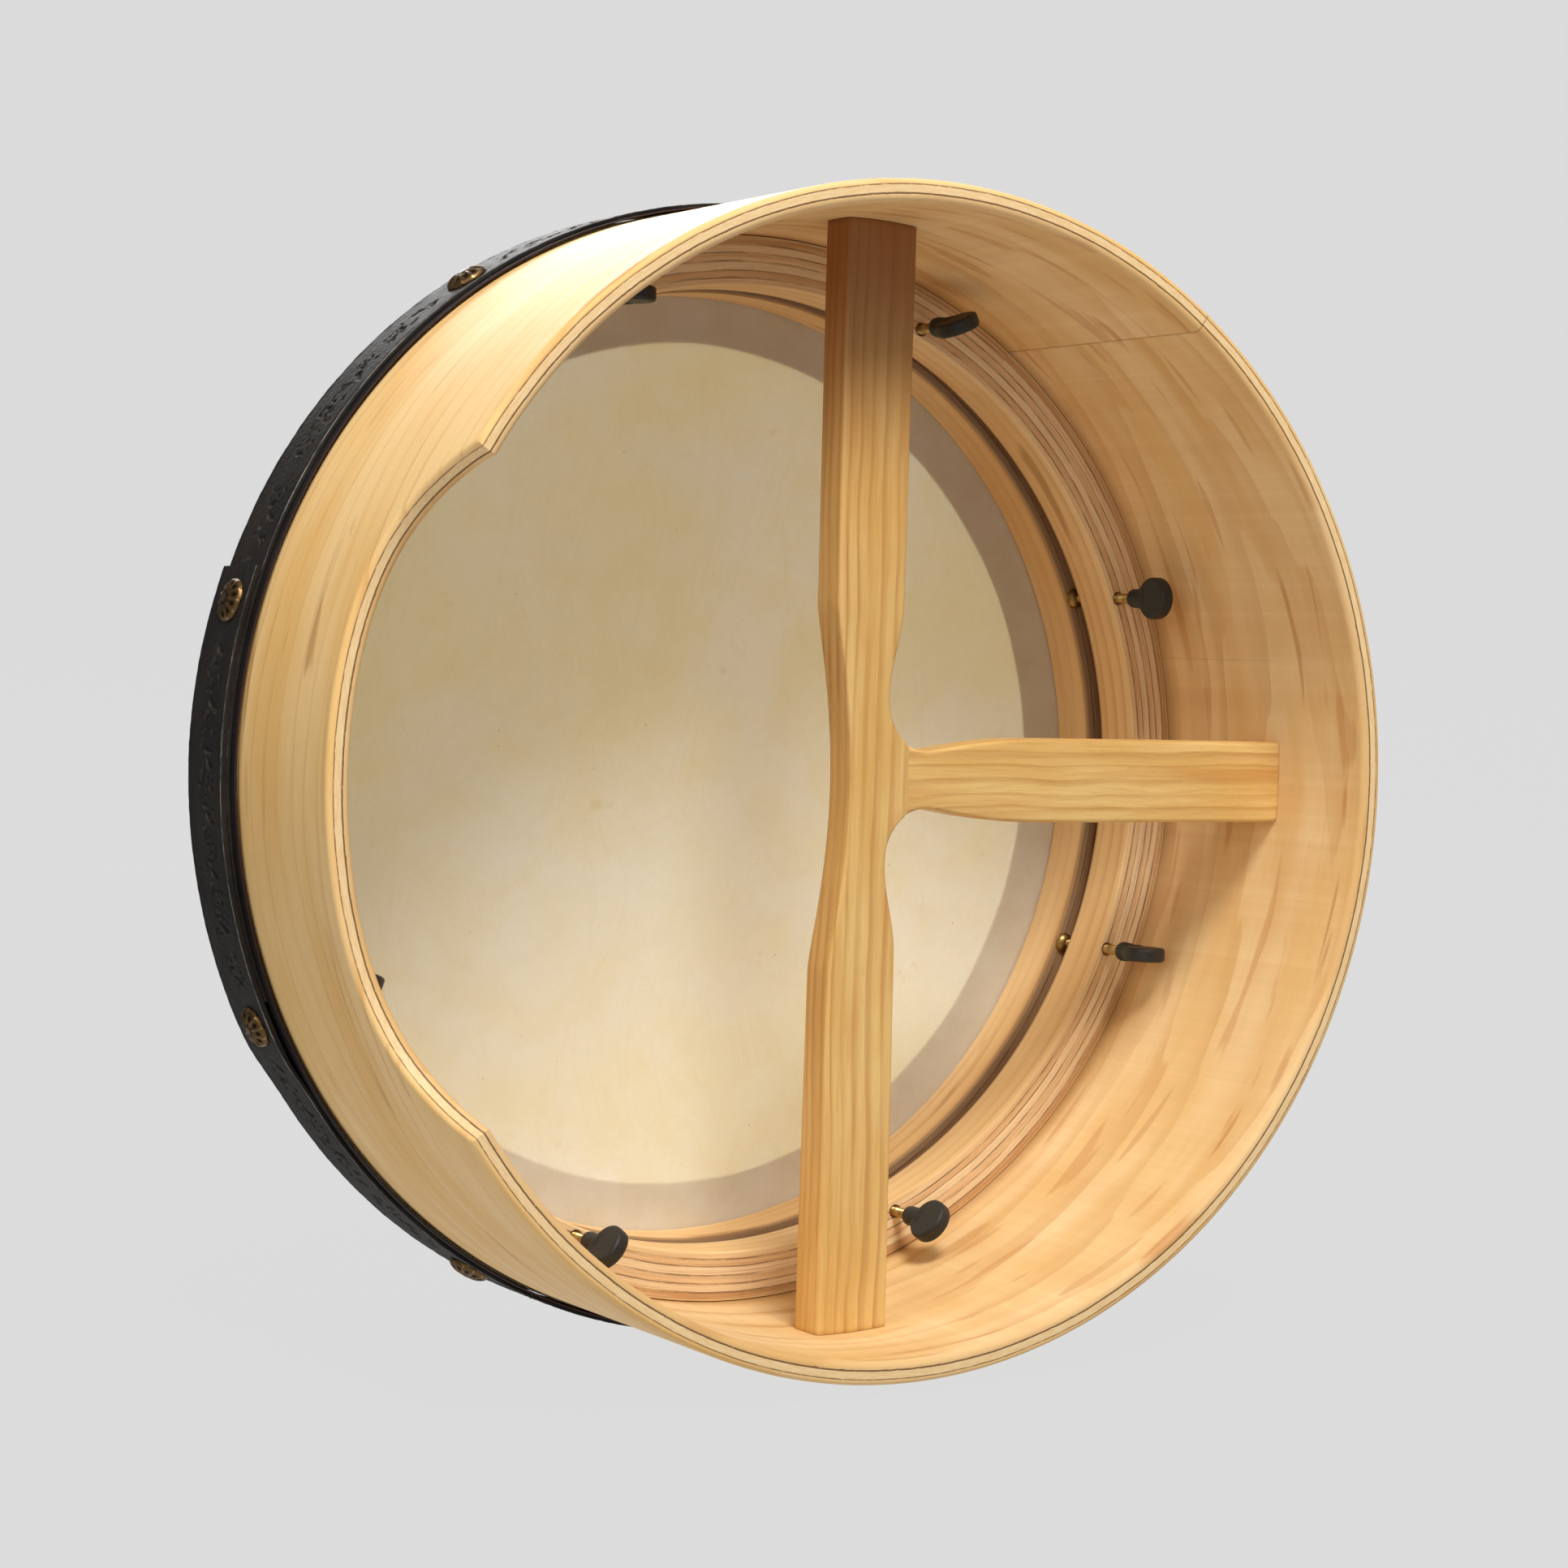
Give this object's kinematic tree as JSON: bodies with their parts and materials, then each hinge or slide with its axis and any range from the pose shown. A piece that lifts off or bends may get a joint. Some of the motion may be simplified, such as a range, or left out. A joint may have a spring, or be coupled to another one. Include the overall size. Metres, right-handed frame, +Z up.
{
  "type": "bodhran",
  "caption": "Round frame drum with a goatskin head, bent-ply shell with a hand cutaway, T-shaped crossbar, thumb-screw tuning hoop and tacked leather band.",
  "frame": {"origin": "on the drum axis in the plane of the crossbar's flat rear face, where the player's hand holds the drum", "axes": "+Y along the drum axis out of the open back, the skin faces -Y; +Z up along the crossbar; the hand cutaway is at +X"},
  "size_m": [0.4175, 0.1629, 0.4145],
  "materials": {
    "bent_ply": "clear satin lacquer over bent plywood, three plies showing on every cut edge",
    "crossbar_wood": "clear satin lacquer, straight grain along each bar",
    "ring_ply": "clear satin lacquer on laminated ply",
    "hoop_ply": "clear satin lacquer on laminated ply",
    "dowel_wood": "plain turned hardwood, glued",
    "goatskin": "natural translucent goatskin, faintly mottled",
    "tape": "matt black cloth-backed tape",
    "band_leather": "black leather, matt",
    "strap_leather": "black leather, tooled, worn along its edges",
    "antique_brass": "antique brass, dark in the hollows",
    "brass": "plain turned brass",
    "insert_brass": "machined brass",
    "knob_plastic": "black moulded plastic, softly matt",
    "screw_steel": "plated steel"
  },
  "bodies": {
    "frame": {"shell": "bent_ply", "crossbar": "crossbar_wood", "crossbar_arm": "crossbar_wood", "joint_dowel": "dowel_wood", "lug_ring": "ring_ply", "lug_insert_1": "insert_brass", "lug_insert_2": "insert_brass", "lug_insert_3": "insert_brass", "lug_insert_4": "insert_brass", "lug_insert_5": "insert_brass", "lug_insert_6": "insert_brass", "lug_insert_7": "insert_brass", "lug_insert_8": "insert_brass", "goatskin_head": "goatskin", "band_lining": "band_leather", "tooled_strap": "strap_leather", "tack_1": "antique_brass", "tack_2": "antique_brass", "tack_3": "antique_brass", "tack_4": "antique_brass", "tack_5": "antique_brass", "tack_6": "antique_brass", "tack_7": "antique_brass", "tack_8": "antique_brass", "tack_9": "antique_brass", "bar_screw_top_1": "screw_steel", "bar_screw_top_2": "screw_steel", "bar_screw_bottom_1": "screw_steel", "bar_screw_bottom_2": "screw_steel", "bar_screw_arm_1": "screw_steel", "bar_screw_arm_2": "screw_steel"},
    "hoop": {"tuning_hoop": "hoop_ply", "edge_tape": "tape", "screw_seat_1": "brass", "screw_seat_2": "brass", "screw_seat_3": "brass", "screw_seat_4": "brass", "screw_seat_5": "brass", "screw_seat_6": "brass", "screw_seat_7": "brass", "screw_seat_8": "brass"},
    "screw_1": {"thumb_screw_1": "brass", "thumb_wing_1": "knob_plastic"},
    "screw_2": {"thumb_screw_2": "brass", "thumb_wing_2": "knob_plastic"},
    "screw_3": {"thumb_screw_3": "brass", "thumb_wing_3": "knob_plastic"},
    "screw_4": {"thumb_screw_4": "brass", "thumb_wing_4": "knob_plastic"},
    "screw_5": {"thumb_screw_5": "brass", "thumb_wing_5": "knob_plastic"},
    "screw_6": {"thumb_screw_6": "brass", "thumb_wing_6": "knob_plastic"},
    "screw_7": {"thumb_screw_7": "brass", "thumb_wing_7": "knob_plastic"},
    "screw_8": {"thumb_screw_8": "brass", "thumb_wing_8": "knob_plastic"}
  },
  "joints": [
    {"name": "hoop_slide", "type": "slide", "parent": "frame", "child": "hoop", "axis": [0, -1, 0], "range_m": [-0.0035, 0.0049], "deforming": ["goatskin_head"]},
    {"name": "screw_1_turn", "type": "hinge", "parent": "hoop", "child": "screw_1", "pos_m": [0.16676, 0, -0.06907], "axis": [0, -1, 0], "range_deg": [-1801, 2521]},
    {"name": "screw_2_turn", "type": "hinge", "parent": "hoop", "child": "screw_2", "pos_m": [0.06907, 0, -0.16676], "axis": [0, -1, 0], "range_deg": [-1801, 2521]},
    {"name": "screw_3_turn", "type": "hinge", "parent": "hoop", "child": "screw_3", "pos_m": [-0.06907, 0, -0.16676], "axis": [0, -1, 0], "range_deg": [-1801, 2521]},
    {"name": "screw_4_turn", "type": "hinge", "parent": "hoop", "child": "screw_4", "pos_m": [-0.16676, 0, -0.06907], "axis": [0, -1, 0], "range_deg": [-1801, 2521]},
    {"name": "screw_5_turn", "type": "hinge", "parent": "hoop", "child": "screw_5", "pos_m": [-0.16676, 0, 0.06907], "axis": [0, -1, 0], "range_deg": [-1801, 2521]},
    {"name": "screw_6_turn", "type": "hinge", "parent": "hoop", "child": "screw_6", "pos_m": [-0.06907, 0, 0.16676], "axis": [0, -1, 0], "range_deg": [-1801, 2521]},
    {"name": "screw_7_turn", "type": "hinge", "parent": "hoop", "child": "screw_7", "pos_m": [0.06907, 0, 0.16676], "axis": [0, -1, 0], "range_deg": [-1801, 2521]},
    {"name": "screw_8_turn", "type": "hinge", "parent": "hoop", "child": "screw_8", "pos_m": [0.16676, 0, 0.06907], "axis": [0, -1, 0], "range_deg": [-1801, 2521]}
  ],
  "couplings": [
    {"joint": "screw_1_turn", "follows": "hoop_slide", "rad_per_m": 8976},
    {"joint": "screw_2_turn", "follows": "hoop_slide", "rad_per_m": 8976},
    {"joint": "screw_3_turn", "follows": "hoop_slide", "rad_per_m": 8976},
    {"joint": "screw_4_turn", "follows": "hoop_slide", "rad_per_m": 8976},
    {"joint": "screw_5_turn", "follows": "hoop_slide", "rad_per_m": 8976},
    {"joint": "screw_6_turn", "follows": "hoop_slide", "rad_per_m": 8976},
    {"joint": "screw_7_turn", "follows": "hoop_slide", "rad_per_m": 8976},
    {"joint": "screw_8_turn", "follows": "hoop_slide", "rad_per_m": 8976}
  ]
}
